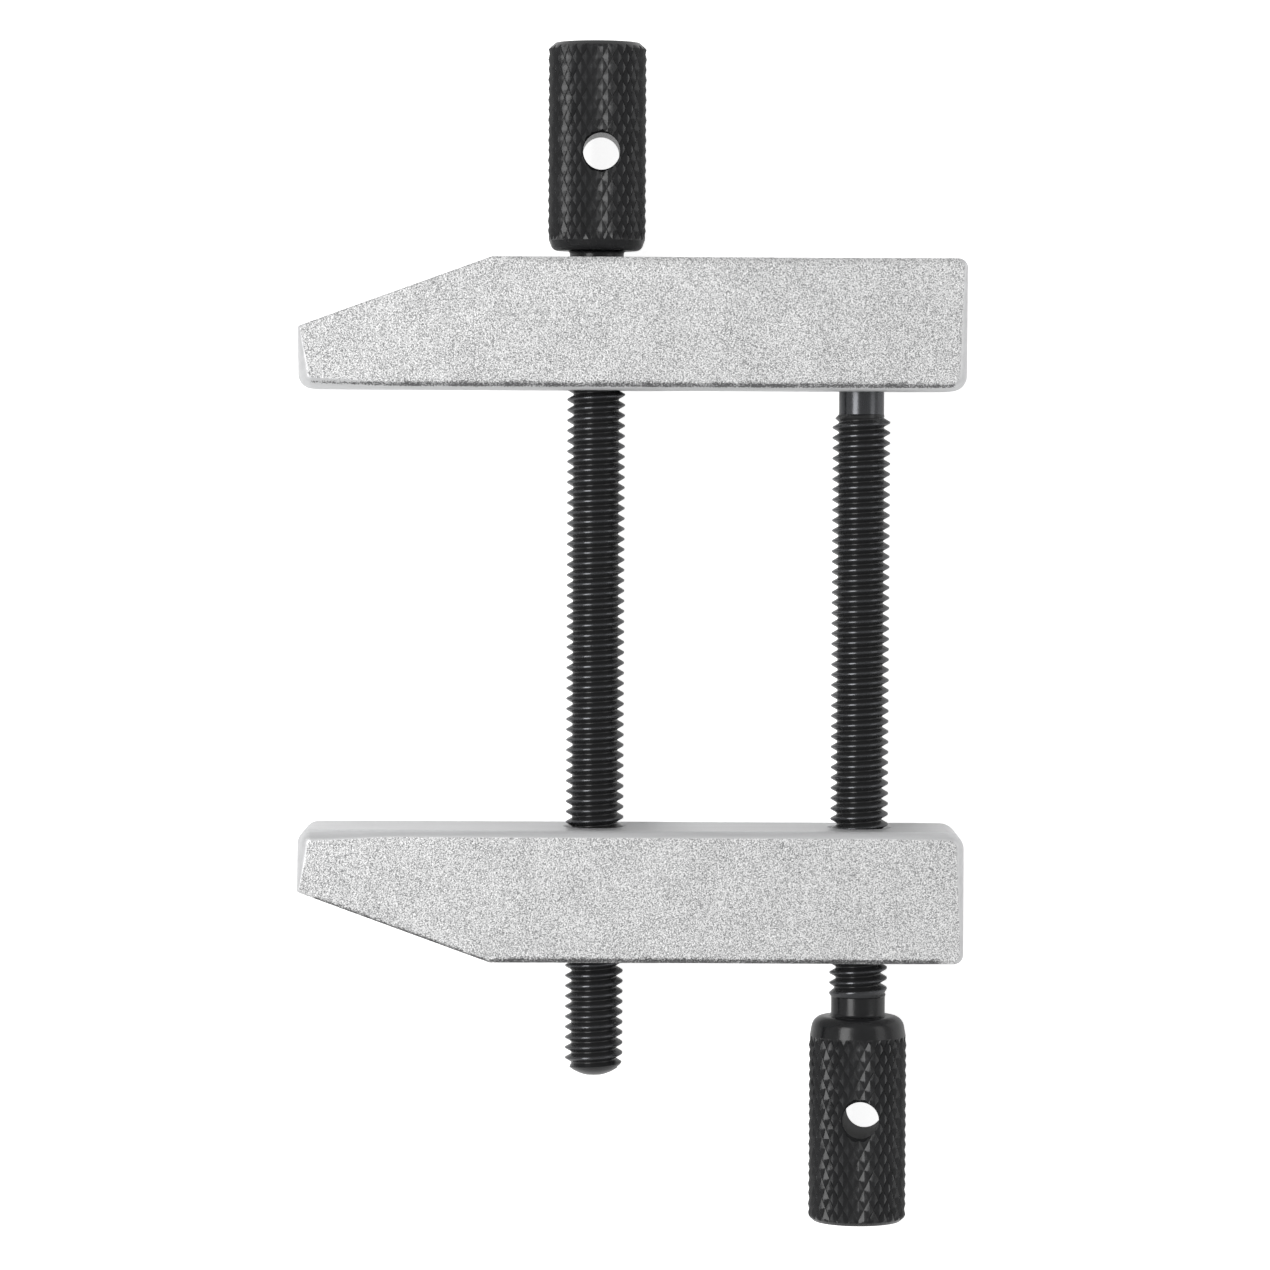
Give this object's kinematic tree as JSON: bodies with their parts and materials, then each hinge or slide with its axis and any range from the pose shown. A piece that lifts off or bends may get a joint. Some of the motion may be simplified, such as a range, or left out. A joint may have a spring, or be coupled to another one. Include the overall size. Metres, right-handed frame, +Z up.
{
  "type": "parallel screw clamp",
  "caption": "Steel parallel clamp with two sloped-nose bar jaws and two knurled, cross-drilled screws in black.",
  "frame": {"origin": "middle of the outline seen from above, on the bench that the clamp lies on", "axes": "+X along the jaws from the sloped noses to the tails, +Y along the screws towards the middle screw's head, +Z up from the bench, through the jaws' side faces"},
  "size_m": [0.0904, 0.1612, 0.018],
  "materials": {
    "jaw_steel": "fine blasted, bright grey",
    "screw_black": "black oxide, oiled"
  },
  "bodies": {
    "lower_jaw": {"lower_jaw": "jaw_steel"},
    "upper_jaw": {"upper_jaw": "jaw_steel"},
    "middle_screw": {"middle_screw": "screw_black"},
    "rear_screw": {"rear_screw": "screw_black"}
  },
  "joints": [
    {"name": "jaw_slide", "type": "slide", "parent": "lower_jaw", "child": "upper_jaw", "axis": [0, 1, 0], "range_m": [-0.0595, 0.0078]},
    {"name": "middle_screw_turn", "type": "hinge", "parent": "upper_jaw", "child": "middle_screw", "pos_m": [-0.00495, 0, 0.009], "axis": [0, 1, 0], "range_deg": [-15180, 1990]},
    {"name": "rear_screw_turn", "type": "hinge", "parent": "upper_jaw", "child": "rear_screw", "pos_m": [0.03135, 0, 0.009], "axis": [0, 1, 0], "range_deg": [-15180, 1990]}
  ],
  "couplings": [
    {"joint": "middle_screw_turn", "follows": "jaw_slide", "rad_per_m": 4452.7},
    {"joint": "rear_screw_turn", "follows": "jaw_slide", "rad_per_m": 4452.7}
  ]
}
